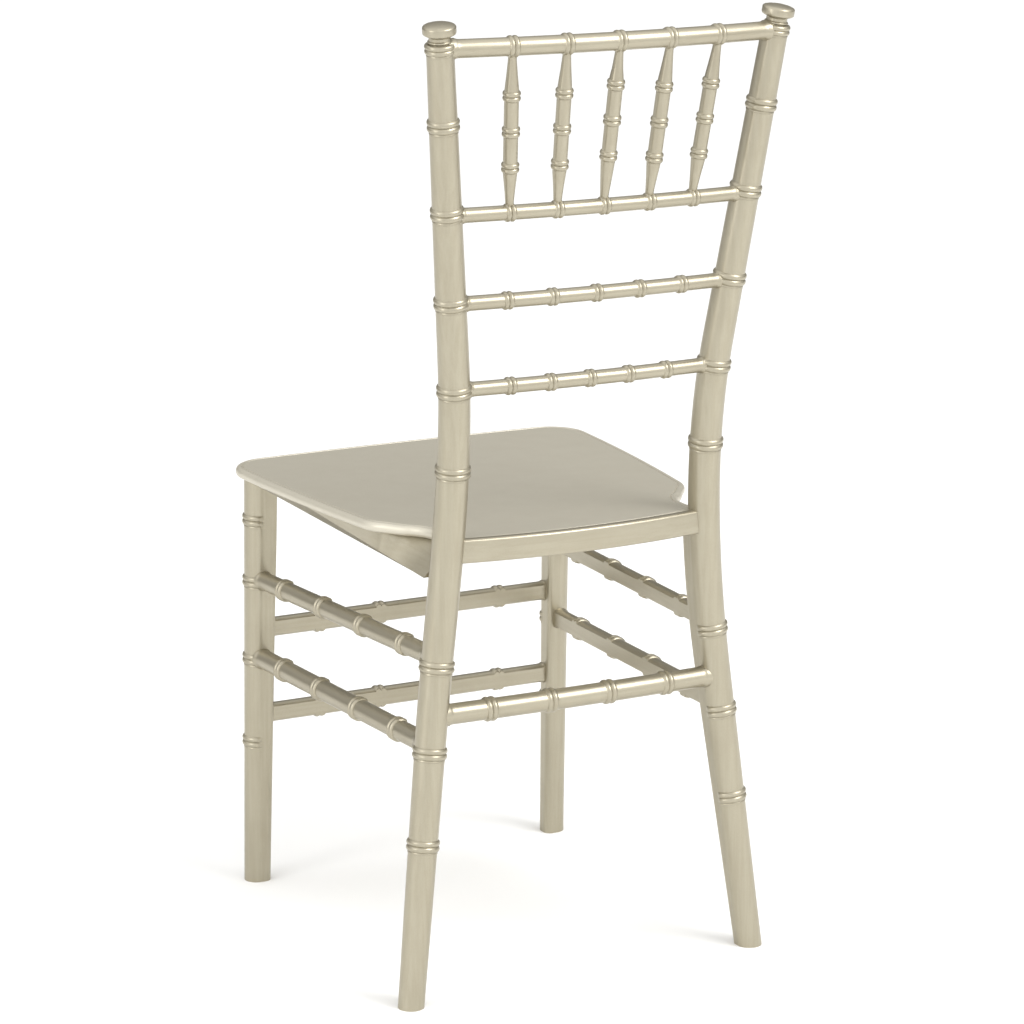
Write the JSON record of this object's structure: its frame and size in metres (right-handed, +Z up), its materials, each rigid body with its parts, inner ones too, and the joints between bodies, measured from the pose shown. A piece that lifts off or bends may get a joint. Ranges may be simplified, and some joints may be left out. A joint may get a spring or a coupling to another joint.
{
  "type": "chiavari chair",
  "caption": "Stacking chiavari chair with bamboo-style turned beads, raked splayed posts, bowed back rails, short spindles, a flat seat and turned stretchers, in satin champagne.",
  "frame": {"origin": "on the floor, under the middle of the box that holds the chair", "axes": "+Z up, the seat's front towards -Y, +X to the sitter's left, on the chair's left side"},
  "size_m": [0.3854, 0.4694, 0.9076],
  "materials": {
    "frame_finish": "satin champagne metallic lacquer",
    "seat_finish": "satin champagne metallic lacquer",
    "fasteners": "zinc plated",
    "glides": "smooth",
    "inner_blocks": "as moulded"
  },
  "bodies": {
    "root": {"corner_block_front_left": "inner_blocks", "corner_block_front_right": "inner_blocks", "corner_block_rear_left": "inner_blocks", "corner_block_rear_right": "inner_blocks", "finial_left": "frame_finish", "finial_right": "frame_finish", "foot_glides": "glides", "front_apron": "frame_finish", "front_leg_left": "frame_finish", "front_leg_right": "frame_finish", "leg_bolts": "fasteners", "lower_back_rail": "frame_finish", "lower_front_stretcher": "frame_finish", "lower_side_stretcher_left": "frame_finish", "lower_side_stretcher_right": "frame_finish", "rear_apron": "frame_finish", "rear_post_left": "frame_finish", "rear_post_right": "frame_finish", "rear_stretcher": "frame_finish", "seat_panel": "seat_finish", "seat_screws": "fasteners", "side_apron_left": "frame_finish", "side_apron_right": "frame_finish", "spindle_1": "frame_finish", "spindle_2": "frame_finish", "spindle_3": "frame_finish", "spindle_4": "frame_finish", "spindle_5": "frame_finish", "spindle_rail": "frame_finish", "top_rail": "frame_finish", "upper_back_rail": "frame_finish", "upper_front_stretcher": "frame_finish", "upper_side_stretcher_left": "frame_finish", "upper_side_stretcher_right": "frame_finish"}
  },
  "joints": []
}
